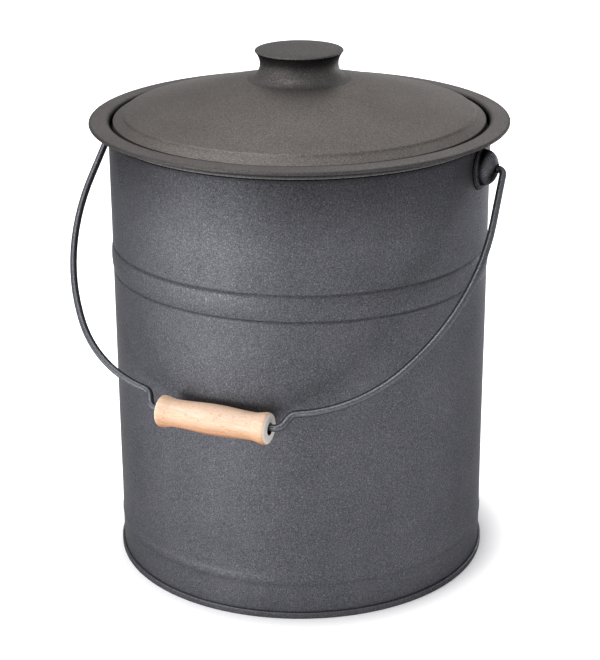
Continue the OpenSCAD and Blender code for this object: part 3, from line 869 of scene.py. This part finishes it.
# %% Finishes go on
for made, finish in [(wall, wall_coat), (plate, body_coat), (inner_plate, body_coat), (rim, rim_coat),
                     (collar, collar_coat), (lid, lid_coat), (knob, knob_coat), (right_ear, ear_coat),
                     (left_ear, ear_coat), (wire, wire_coat), (grip, grip_wood)]:
    made.data.materials.append(finish)
for name in ("rim_wire", "knob_stud", "knob_washer", "knob_nut"):
    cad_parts[name].data.materials.clear()
    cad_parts[name].data.materials.append(bare_steel)

# %% [markdown]
# ## The floor
# The bucket stands in an open white studio on a plain pale sheet, 12 metres across. To camera and
# mirror rays the sheet also glows, so that it reads as white. The glow grows with the distance from the
# bucket's axis: it is weak as far as the foot and nearly full 4 cm outside it. That weak ring is a
# painted shadow round the foot, and it lets the floor's own shadow show there, narrow and soft.

# %% Floor
floor_half = 6.0
glow_weak = 147
glow_strong = 185
glow_full = 500
floor_data = bpy.data.meshes.new("floor")
floor_data.from_pydata([(-floor_half, -floor_half, 0), (floor_half, -floor_half, 0),
                        (floor_half, floor_half, 0), (-floor_half, floor_half, 0)], [], [(0, 1, 2, 3)])
floor = bpy.data.objects.new("floor", floor_data)
bpy.context.scene.collection.objects.link(floor)
paper, tree, output, place = new_material("white paper sweep")
sees = add(tree, "LightPath")
from_bucket = add(tree, "VectorMath", {"operation": "LENGTH"}, {0: place}).outputs["Value"]
# Painted shadow: the glow is weak near the foot.
open_floor = ramp(tree, from_bucket, [(glow_weak*mm, "#606060"), (glow_strong*mm, "#ededed"),
                                      (glow_full*mm, "#ffffff")])
glow_when = add(tree, "Math", {"operation": "MAXIMUM"},
                {0: sees.outputs["Is Camera Ray"], 1: sees.outputs["Is Glossy Ray"]}).outputs[0]
fibres = add(tree, "TexNoise", inputs={"Vector": place, "Scale": per_metre(4), "Detail": 2.0}).outputs["Fac"]
white = ramp(tree, fibres, [(0.3, "#f4f4f6"), (0.7, "#fafafc")])
matt = add(tree, "BsdfDiffuse", inputs={"Color": white})
glow = add(tree, "Emission", inputs={"Color": open_floor, "Strength": glow_when})
both = add(tree, "AddShader", inputs={0: matt.outputs[0], 1: glow.outputs[0]})
tree.links.new(both.outputs[0], output.inputs["Surface"])
floor_data.materials.append(paper)

# %% [markdown]
# ## The background
# The world is white to camera, glass and mirror rays, and a dimmer grey as a light.

# %% World
ambient = 0.36
world = bpy.data.worlds.new("studio")
world.use_nodes = True
bpy.context.scene.world = world
tree = world.node_tree
tree.nodes.clear()
sees = add(tree, "LightPath")
seen = add(tree, "Math", {"operation": "MAXIMUM"},
           {0: sees.outputs["Is Camera Ray"], 1: sees.outputs["Is Transmission Ray"]}).outputs[0]
seen = add(tree, "Math", {"operation": "MAXIMUM"}, {0: seen, 1: sees.outputs["Is Glossy Ray"]}).outputs[0]
level = add(tree, "MapRange", inputs={"Value": seen, "To Min": ambient, "To Max": 1.0}).outputs[0]
sky = add(tree, "Background", inputs={"Color": linear("#ffffff"), "Strength": level})
tree.links.new(sky.outputs[0], add(tree, "OutputWorld").inputs["Surface"])

# %% [markdown]
# ## The lights
# Eleven soft boxes stand round the bucket: square boxes and low, wide strips. A satin metal shows a
# lamp, blurred, where a mirror would show it. So those at the bucket's own height draw upright soft
# bands on the wall, and those above it light the rim and the lid. Where they stand and how strong
# they are was worked out from the brightness of the photograph. They hold for its own side of the
# bucket, and give only a likely light from other sides.

# %% Lights
aim_height = 0.2
box = (2.2, 1.3, 1.3)
small_box = (2.2, 1.0, 1.0)
strip = (1.6, 0.8, 0.34)


def softbox(name, turn_deg, up_deg, distance, wide, tall, watts):
    """A soft box aimed at a point on the bucket's axis, aim_height above the floor. Seen from there, it
    stands at an angle round the axis from +X towards +Y, at an angle above the level, and at a distance.
    Lengths are in metres."""
    data = bpy.data.lights.new(name, "AREA")
    data.shape = "RECTANGLE"
    data.size = wide
    data.size_y = tall
    data.energy = watts
    lamp = bpy.data.objects.new(name, data)
    bpy.context.scene.collection.objects.link(lamp)
    turn, up = np.radians(turn_deg), np.radians(up_deg)
    lamp.matrix_world = (
        Matrix.Translation((0, 0, aim_height)) @ Matrix.Rotation(turn + np.pi/2, 4, "Z")
        @ Matrix.Rotation(np.pi/2 - up, 4, "X") @ Matrix.Translation((0, 0, distance)))


for name, turn_deg, up_deg, shape, watts in [
        ("low box, behind right", 83.4, 12, box, 7.5),
        ("low strip, front", -111.6, 0, strip, 11.4),
        ("high box, left", -156.6, 65, box, 8.4),
        ("low strip, behind right", 68.4, 0, strip, 13.5),
        ("high box, behind left", 143.4, 65, box, 6.6),
        ("middle box, front left", -126.6, 38, box, 5.1),
        ("low strip, front left", -141.6, 0, strip, 3.6),
        ("middle box, behind", 98.4, 38, box, 5.7),
        ("low box, behind", 113.4, 12, box, 1.2),
        ("low box, front left", -141.6, 12, box, 1.2),
        ("high box, front", -96.6, 57, small_box, 15)]:
    softbox(name, turn_deg, up_deg, *shape, watts)
